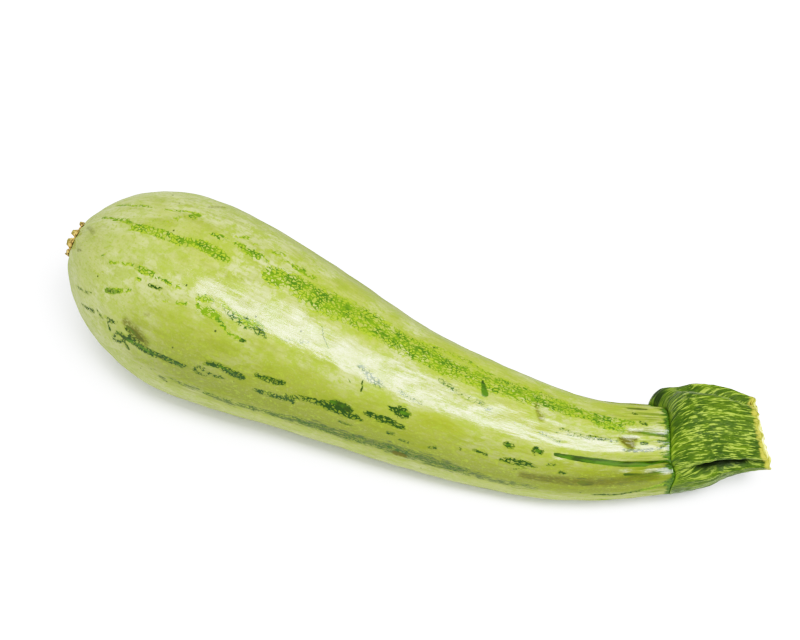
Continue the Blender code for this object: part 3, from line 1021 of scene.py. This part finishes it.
# %% Stem sizes
STEM_LINE = [np.array(p) * MM for p in ((0, 3.2, 1.3), (10, 7.4, 4.1), (20, 9.3, 5.8), (30, 10.4, 7.2))]
STEM_LINE_LENGTH = 31 * MM
STEM_RADII = [r * MM for r in (17.0, 16.7, 15.5, 14.0, 12.4, 11.1, 10.4)]
STEM_TURN_LENGTH = 12 * MM
SEAM_GAP = 0.06 * MM
GROOVE_DEPTH_BASE = 0.07
GROOVE_DEPTH = 0.24
GROOVE_START = 9 * MM
STEM_TWIST = math.radians(0.7) / MM
SHOULDER_LENGTH = 5 * MM
SHOULDER_STEP = 0.15 * MM
CUT_LENGTH = 26 * MM
CUT_SLANT = 3.7 * MM
CUT_SLANT_ANGLE = math.radians(-62)
SLIT_WIDTH = math.radians(6.0)
SLIT_DEPTH = 0.24
SLIT_OFFSET = math.radians(5)
SLIT_END = 20 * MM
SLIT_FADE = 4 * MM
LIP_WIDTH = math.radians(4.5)
LIP_OFFSET = 2.6 * LIP_WIDTH
LIP_HEIGHT = 0.035
RIDGE_COUNT = 38
RIDGE_HEIGHT = 0.006
print(f"stem: {len(GROOVE_ANGLES)} grooves, {CUT_LENGTH * 1000:.0f} mm to the cut")

# %% [markdown]
# A point of the stem is found like one of the fruit, from a distance and an angle. The
# grooves, lips and ridges turn with the twist of the stem, and each is a bump round its own
# angle. A deeper, narrower slit in each groove ends before the cut, as on the real one.

# %% Stem formulas
def stem_line(u):
    """Return the middle of the stem at distance u from the neck's end."""
    t = u / STEM_LINE_LENGTH
    return NECK_END + np.stack([smooth_through([p[axis] for p in STEM_LINE], t) for axis in range(3)], -1)


def stem_frame(u):
    """Return the stem's middle and tangent, which start out square to the neck's end."""
    forward = np.maximum(u, 0.0)
    own = unit(stem_line(forward + MM) - stem_line(forward - MM))
    turn = ramp(forward / STEM_TURN_LENGTH)[..., None]
    middle = stem_line(forward) + NECK_TANGENT * np.minimum(u, 0.0)[..., None]
    return middle, unit(NECK_TANGENT + (own - NECK_TANGENT) * turn)


def stem_radius(u, angle):
    """Return the radius over the ribs, less the five narrow grooves between them."""
    full = smooth_through(STEM_RADII, u / STEM_LINE_LENGTH)
    turned = angle - STEM_TWIST * np.maximum(u, 0.0)
    begun = ramp(u / GROOVE_START)
    open_part = begun * (1 - 0.8 * ramp((u - SLIT_END) / SLIT_FADE))
    depth = GROOVE_DEPTH_BASE + (GROOVE_DEPTH - GROOVE_DEPTH_BASE) * begun
    shape = 1.0 - depth * sum(bell(turned, groove, GROOVE_WIDTH) for groove in GROOVE_ANGLES)
    for groove in GROOVE_ANGLES:
        shape = shape - SLIT_DEPTH * open_part * bell(turned, groove + SLIT_OFFSET, SLIT_WIDTH)
        shape = shape + LIP_HEIGHT * begun * bell(turned, groove - LIP_OFFSET, LIP_WIDTH)
    ridges = np.cos(RIDGE_COUNT * turned + 3 * np.sin(2 * turned)) * ramp((u + 2 * MM) / (6 * MM))
    return full * (shape + RIDGE_HEIGHT * ridges)


def stem_point(u, angle, share=1.0):
    """Return points on the stem, or inside it at a share of the way out."""
    middle, tangent = stem_frame(u)
    return middle + around(tangent, angle) * (stem_radius(u, angle) * share)[..., None]


def stem_start(angle):
    """Return where the lobes of the stem begin at this angle."""
    return SEAM_GAP - edge_setback(angle)


def stem_end(angle):
    """Return where the slanting cut ends the stem at this angle."""
    return CUT_LENGTH - CUT_SLANT * np.cos(angle - CUT_SLANT_ANGLE)


def shoulder_point(forward, angle):
    """Return points on the round shoulder that swells from the neck's skin to the full stem."""
    edge = seat_point(1.0, angle, SEAM_GAP + forward) + around(NECK_TANGENT, angle) * SHOULDER_STEP
    swell = np.sqrt(1 - (1 - forward / SHOULDER_LENGTH) ** 2)
    full = stem_point(stem_start(angle) + forward, angle)
    return edge + (full - edge) * swell


def cut_point(share, angle, sunk):
    """Return points on the slanting cut face, at a share of the way out from its middle."""
    u = CUT_LENGTH - CUT_SLANT * np.cos(angle - CUT_SLANT_ANGLE) * share - sunk
    return stem_point(u, angle, share)


print(f"stem at the cut: {2000 * stem_radius(CUT_LENGTH, 0.0):.0f} mm across")

# %% [markdown]
# ## Stem and cut
# The knife left a slanting face with a torn rim that stands up a little and a middle
# that dries and sinks. The rim's height is uneven, so no straight line is left on it.

# %% Build the stem
STEM_SEGMENTS = 320
SHOULDER_STEPS = 14
RIB_STEPS = 120
CUT_STEPS = 34
CUT_PROFILE = ((0.0, 0.5), (0.4, 0.4), (0.85, 0.0), (0.94, -0.4), (1.0, 0.0))
RIM_ROUGHNESS = 0.22 * MM
RIND_ROUGHNESS = 0.05 * MM
RIND_PLACE_RADIUS = 13.0

turn = np.linspace(0.0, 2 * math.pi, STEM_SEGMENTS, endpoint=False)
grown = [seat_point(share, turn, SEAM_GAP) for share in (1 / 3, 2 / 3, 0.97)]
ruler = [stem_start(turn)] * 3
for k in np.sin(np.linspace(0.0, math.pi / 2, SHOULDER_STEPS)) ** 2:
    grown.append(shoulder_point(SHOULDER_LENGTH * k, turn))
    ruler.append(stem_start(turn) + SHOULDER_LENGTH * k)
begin = stem_start(turn) + SHOULDER_LENGTH
for k in np.linspace(0.0, 1.0, RIB_STEPS + 1)[1:]:
    reach = begin + (stem_end(turn) - begin) * k
    grown.append(stem_point(reach, turn))
    ruler.append(reach)
rind_rings = len(grown)
shares = np.linspace(1.0, 0.0, CUT_STEPS + 2)[1:-1]
for share in shares:
    sunk = np.interp(share, *zip(*CUT_PROFILE)) * MM
    grown.append(cut_point(share, turn, sunk))
    ruler.append(stem_end(turn))
grown = np.array(grown)
ruler = np.array(ruler)
middle, tangent = stem_frame(CUT_LENGTH)

torn = RIM_ROUGHNESS * rolling(grown[rind_rings - 3:], 2.4 * MM, seed=8, waves=60)
grown[rind_rings - 3:] += tangent * torn[..., None]
rough = RIND_ROUGHNESS * rolling(grown, 2.5 * MM, seed=9, waves=60)
rough[:4] = 0.0
grown = grown + outward(grown) * rough[..., None]
print(f"{rind_rings} rings of rind and {CUT_STEPS} rings of cut")

# %% [markdown]
# ## Notes for the rind
# The finish needs to know what is rind and what is cut flesh, how far the cut is, how deep
# a point lies in a groove and which side faces down, for painted shade in the grooves and
# underneath. All of that is written down point by point. The streaks of the rind fan out
# over the widest rib, so its ruler is bent to the same fan.

# %% Notes on the stem
CUT_MARGIN = 3.2 * MM
BASE_MARGIN = 3.0 * MM
FAN_SPREAD = 0.5
FAN_MIDDLE = math.radians(18)

is_cut = np.zeros(ruler.shape)
is_cut[rind_rings:] = 1.0
cut_share = np.ones(ruler.shape)
cut_share[rind_rings:] = shares[:, None]
near_cut = (1 - ramp((stem_end(turn) - ruler) / CUT_MARGIN)) * (1 - is_cut)
near_base = np.exp(-np.maximum(ruler - stem_start(turn), 0.0) / BASE_MARGIN)
# painted shade on the stem's lower side
underside_shade = ramp(np.degrees(turn), 68, 90) * (turn < math.pi) * np.ones(ruler.shape)
twisted = turn - STEM_TWIST * np.maximum(ruler, 0.0)
# painted shade deep in each groove, fading towards the cut
groove_shade = sum(bell(twisted, groove + SLIT_OFFSET, 1.2 * SLIT_WIDTH) for groove in GROOVE_ANGLES)
groove_shade = groove_shade * ramp((ruler - 1 * MM) / (7 * MM)) * (1 - is_cut)
groove_shade = groove_shade * (1 - 0.7 * ramp((ruler - SLIT_END) / SLIT_FADE))
far_lobe = bell(turn, LOBE_ANGLE, LOBE_WIDTH) * np.exp(-np.maximum(ruler + 5 * MM, 0.0) / (6 * MM))
fan = turn - FAN_SPREAD * np.clip(ruler / STEM_LINE_LENGTH, 0.0, 1.0) * np.sin(turn - FAN_MIDDLE)
rind_place = np.stack([ruler / MM, RIND_PLACE_RADIUS * np.cos(fan), RIND_PLACE_RADIUS * np.sin(fan)], -1)
rind_place[rind_rings:] = (grown[rind_rings:] - middle) / MM
stem_notes = {
    "rind_place": rind_place, "cut_share": cut_share, "is_cut": is_cut, "near_cut": near_cut,
    "near_base": near_base, "groove_shade": groove_shade, "far_lobe": far_lobe,
    "underside_shade": underside_shade,
}
stem_pole = middle - tangent * 0.5 * MM
stem = bag("stem_rind", laid(NECK_END + NECK_TANGENT * SEAM_GAP), laid(grown), laid(stem_pole), stem_notes)

# %% [markdown]
# ## Rind
# The rind is a middle green with short pale streaks that all run with the ribs. Noise that
# is drawn out nine times along the stem gives such streaks, and a second, finer layer
# keeps them from looking alike. Broad dark bands, laid at random along the stem, are
# painted shade of the ribs. The grooves get painted shade deep inside, and so do the
# underside and the base next to the fruit; the far lobe is darker too. Right at the base
# the rind is paler with a torn edge, and the rim of the cut has dried to tan.

# %% Rind finish
RIND_DARK = seen(50, 71, 6)
RIND_GREEN = seen(76, 98, 8)
RIND_PALE = seen(134, 152, 66)
RIND_DEEP = seen(18, 34, 2)
RIND_EDGE = seen(96, 118, 26)
TAN = seen(150, 146, 62)
FLESH = seen(232, 226, 152)
FLESH_RING = seen(186, 190, 104)

rind = Finish("stem rind")
place = rind.note("rind_place", "Vector")
blotch = rind.drawn(place, 0.5, 0.22, 3.0)
streaks = rind.drawn(place, 0.11, 2.3, 3.0, 0.6, 0.3)
fine_streaks = rind.drawn(place, 0.11, 4.4, 2.0, 0.5, 0.3)
bands = rind.drawn(place, 0.05, 0.55, 3.0, 0.6)
green = rind.tint(RIND_DARK, RIND_GREEN, blotch, 0.38, 0.62)
# painted shade of the ribs: broad dark bands laid at random along the stem
green = rind.tint(green, RIND_DARK, bands, 0.62, 0.40, 0.7)
pale = rind.step(rind.sum(rind.sum(streaks, fine_streaks, 0.6), bands, 0.35), 0.99, 1.11, 0.0, 0.85)
# base_shade: painted shade on the underside and next to the fruit, with the far lobe darker
base_shade = rind.sum(rind.note("far_lobe"), rind.note("near_base"), 0.35)
base_shade = rind.sum(base_shade, rind.note("underside_shade"), 0.4)
pale = rind.times(pale, rind.step(base_shade, 0.1, 0.9, 1.0, 0.3))
colour = rind.mix(pale, green, RIND_PALE)
deep = rind.step(rind.sum(fine_streaks, streaks, 0.7), 0.66, 0.78, 0.4, 0.0)
colour = rind.mix(deep, colour, RIND_DEEP)
colour = rind.tint(colour, RIND_DEEP, rind.sum(base_shade, streaks, -0.5), 0.25, 1.0, 0.7)
# painted shade deep in the grooves
colour = rind.tint(colour, RIND_DEEP, rind.note("groove_shade"), 0.25, 0.85)
spikes = rind.drawn(place, 0.35, 0.9, 4.0, 0.7)
torn_base = rind.sum(rind.note("near_base"), spikes, 1.5)
colour = rind.tint(colour, RIND_EDGE, torn_base, 1.5, 1.8, 0.75)
torn_cut = rind.sum(rind.note("near_cut"), spikes, 2.2)
colour = rind.tint(colour, TAN, torn_cut, 1.5, 2.1)
print("rind:", len(rind.nodes), "nodes")

# %% [markdown]
# ## Cut flesh
# The cut shows cream flesh with a green ring and a dried rim. It belongs to the same piece
# as the rind, so both colours go into one finish, and a note says which of them counts.

# %% Flesh finish
radius = rind.note("cut_share")
threads = rind.noise(place, 1.6, 3.0, 0.6)
flesh = rind.tint(FLESH, FLESH_RING, threads, 0.35, 0.65)
flesh = rind.tint(flesh, FLESH_RING, radius, 0.80, 0.95)
flesh = rind.tint(flesh, TAN, rind.sum(radius, threads, 0.3), 1.02, 1.16)
colour = rind.mix(rind.note("is_cut"), colour, flesh)

height = rind.sum(rind.sum(streaks, fine_streaks, 0.5), threads, 0.3)
rind_material = rind.surface(
    Base_Color=colour, Roughness=rind.step(blotch, 0.3, 0.7, 0.40, 0.55),
    Normal=rind.bump(height, 0.25 * MM), Specular_IOR_Level=0.12)
stem.data.materials.append(rind_material)
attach(stem, "root")
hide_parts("stem")
print("stem finish:", len(rind.nodes), "nodes")

# %% [markdown]
# ## Blossom scar
# Where the flower dropped off, a small disc of cork is left, with crumbs along its
# rim. It is turned like a bowl on a lathe: a list of stations gives its section, and the
# crumbs stand up where the rim's share of a station meets a bump round its own angle.

# %% Build the blossom scar
SCAR_RADIUS = 6.3 * MM
SCAR_THICKNESS = 0.5 * MM
SCAR_RIM_HEIGHT = 1.7 * MM
SCAR_SECTION = (
    (0.5, 0.0, 0.0), (0.96, 0.0, 0.0), (1.0, 0.5, 0.1), (0.93, 1.0, 1.0),
    (0.80, 1.0, 0.7), (0.68, 1.0, 0.0), (0.30, 0.6, 0.0),
)
NUBS = (
    (-60, 13, 1.0), (12, 10, 0.9), (48, 14, 0.95), (86, 6, 0.5),
    (130, 13, 0.8), (172, 11, 0.9), (-142, 14, 0.7), (-104, 8, 0.5),
)
CORK_ROUGHNESS = 0.10 * MM
SCAR_SEGMENTS = 220
SCAR_STEPS = 60
scar_turn = np.linspace(0.0, 2 * math.pi, SCAR_SEGMENTS, endpoint=False)


def nub(angle):
    """Return the height, 0 to 1, of the crumbs round the rim."""
    bumps = []
    for place, wide, tall in NUBS:
        away = np.abs(half_turn(angle - math.radians(place)))
        bumps.append(tall * ramp(1.6 - away / math.radians(wide)))
    return np.max(bumps, axis=0)


where = np.linspace(0.0, 1.0, SCAR_STEPS)[:, None] * (len(SCAR_SECTION) - 1)
out, disc, rim = (np.interp(where, range(len(SCAR_SECTION)), values) for values in zip(*SCAR_SECTION))
crumb = rim * nub(scar_turn)
height = GAP + SCAR_THICKNESS * disc + SCAR_RIM_HEIGHT * crumb
spread = (SCAR_RADIUS * out + 0.0 * height)[..., None]
cork_rings = base - base_tangent * height[..., None] + around(base_tangent, scar_turn)[None] * spread
pitting = CORK_ROUGHNESS * rolling(cork_rings, 1.6 * MM, seed=12, waves=60) * ramp(disc * 2)
cork_rings = cork_rings + outward(cork_rings) * pitting[..., None]
under = base - base_tangent * GAP
cork_notes = {"cork_place": (cork_rings - base) / MM, "crumb": crumb}
cork_pole = under - base_tangent * SCAR_THICKNESS * 0.6
scar = bag("blossom_cork", laid(under), laid(cork_rings), laid(cork_pole), cork_notes)

# %% [markdown]
# Cork is dry, so it has no shine. One noise gives both its colour and its finest pits,
# so the dark places are the deep ones. The crumbs have stayed a little greener.

# %% Cork finish
CORK = seen(186, 158, 92)
CORK_DARK = seen(88, 72, 30)
CORK_OLIVE = seen(112, 104, 44)

cork = Finish("scar cork")
place = cork.note("cork_place", "Vector")
grain = cork.noise(place, 1.3, 4.0, 0.65)
colour = cork.tint(CORK_DARK, CORK, grain, 0.40, 0.60)
colour = cork.tint(colour, CORK_OLIVE, cork.note("crumb"), 0.25, 0.8, 0.8)
cork_material = cork.surface(Base_Color=colour, Roughness=0.85, Normal=cork.bump(grain, 0.4 * MM))
scar.data.materials.append(cork_material)
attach(scar, "root")
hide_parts("blossom_scar")
print("cork finish:", len(cork.nodes), "nodes")

# %% [markdown]
# ## Table
# The zucchini lies on plain white. The floor is only for the picture, and isn't part of
# the zucchini.

# %% Floor
FLOOR_SIZE = 6.0
FLOOR_WHITE = seen(246, 247, 249)
bpy.ops.mesh.primitive_plane_add(size=FLOOR_SIZE, location=(0.0, 0.0, 0.0))
floor = bpy.context.object
floor.name = "floor"
floor_finish = Finish("white floor")
floor_material = floor_finish.surface(Base_Color=FLOOR_WHITE, Roughness=0.6, Specular_IOR_Level=0.2)
floor.data.materials.append(floor_material)
print("floor:", FLOOR_SIZE, "m wide")

# %% [markdown]
# ## Light
# A white room lights everything softly. The long shine below the main stripe is the mirror
# image of a lamp, so its place tells where the lamp hangs: overhead and a little towards the
# camera. Towards the neck the shine widens, so a second, deeper panel hangs at that side.

# %% Light
ROOM_BRIGHTNESS = 1.0
PANEL_DISTANCE = 1.2


def hang_panel(name, direction, length, depth, power):
    """Hang a rectangular light over the table, its length along X, that faces the middle."""
    lamp = bpy.data.lights.new(name, "AREA")
    lamp.shape = "RECTANGLE"
    lamp.size = length
    lamp.size_y = depth
    lamp.energy = power
    panel = bpy.data.objects.new(name, lamp)
    away = Vector(direction).normalized()
    depth_axis = away.cross(Vector((1.0, 0.0, 0.0))).normalized()
    length_axis = depth_axis.cross(away)
    turned = Matrix((length_axis, depth_axis, away)).transposed().to_4x4()
    panel.matrix_world = Matrix.Translation(away * PANEL_DISTANCE) @ turned
    bpy.context.scene.collection.objects.link(panel)


hang_panel("panel", (0.20, -0.27, 0.92), 0.74, 0.30, 11.0)
hang_panel("side panel", (0.37, -0.23, 0.92), 0.34, 0.66, 8.5)

room = bpy.data.worlds.new("white room")
room.use_nodes = True
room.node_tree.nodes["Background"].inputs["Color"].default_value = (1.0, 1.0, 1.0, 1.0)
room.node_tree.nodes["Background"].inputs["Strength"].default_value = ROOM_BRIGHTNESS
bpy.context.scene.world = room
print("lamps:", [lamp.name for lamp in bpy.data.lights])

# %% [markdown]
# ## Film
# The photographed floor is burnt out to pure white, while the zucchini's highlights
# keep their green. A curve like that of film does this: it holds the deepest tones down,
# rises steeply to the middle ones and bends over gently towards white.

# %% Film curve
FILM_WHITE = 1.6
FILM_CURVE = (
    (0.0, 0.0), (0.05, 0.033), (0.18, 0.18), (0.45, 0.485), (0.8, 0.753), (1.2, 0.93),
    (FILM_WHITE, 1.0),
)

view = bpy.context.scene.view_settings
view.view_transform = "Standard"
view.use_curve_mapping = True
view.curve_mapping.white_level = (FILM_WHITE, FILM_WHITE, FILM_WHITE)
master = view.curve_mapping.curves[3]
while len(master.points) < len(FILM_CURVE):
    master.points.new(0.5, 0.5)
for point, (light, shown) in zip(master.points, FILM_CURVE):
    point.location = (light / FILM_WHITE, shown)
view.curve_mapping.update()
print("film curve:", len(master.points), "points")

# %% [markdown]
# ## Camera
# The camera stands high above the table and a little to the right, and looks down
# at the zucchini with a long lens.

# %% Camera
VIEW_TARGET = Vector((-10.16, 22.0, 19.5)) * MM
VIEW_TURN = math.radians(18.69)
VIEW_HEIGHT = math.radians(55.0)
VIEW_DISTANCE = 0.7
LENS = 94.5
SENSOR_WIDTH = 36.0

towards = Vector((
    math.sin(VIEW_TURN) * math.cos(VIEW_HEIGHT),
    -math.cos(VIEW_TURN) * math.cos(VIEW_HEIGHT),
    math.sin(VIEW_HEIGHT),
))
camera = bpy.data.objects.new("camera", bpy.data.cameras.new("camera"))
camera.data.lens = LENS
camera.data.sensor_width = SENSOR_WIDTH
camera.location = VIEW_TARGET + towards * VIEW_DISTANCE
camera.rotation_euler = towards.to_track_quat("Z", "Y").to_euler()
bpy.context.scene.collection.objects.link(camera)
bpy.context.scene.camera = camera
print("the camera stands", (camera.location * 1000).to_tuple(0), "mm from the origin")

# %% [markdown]
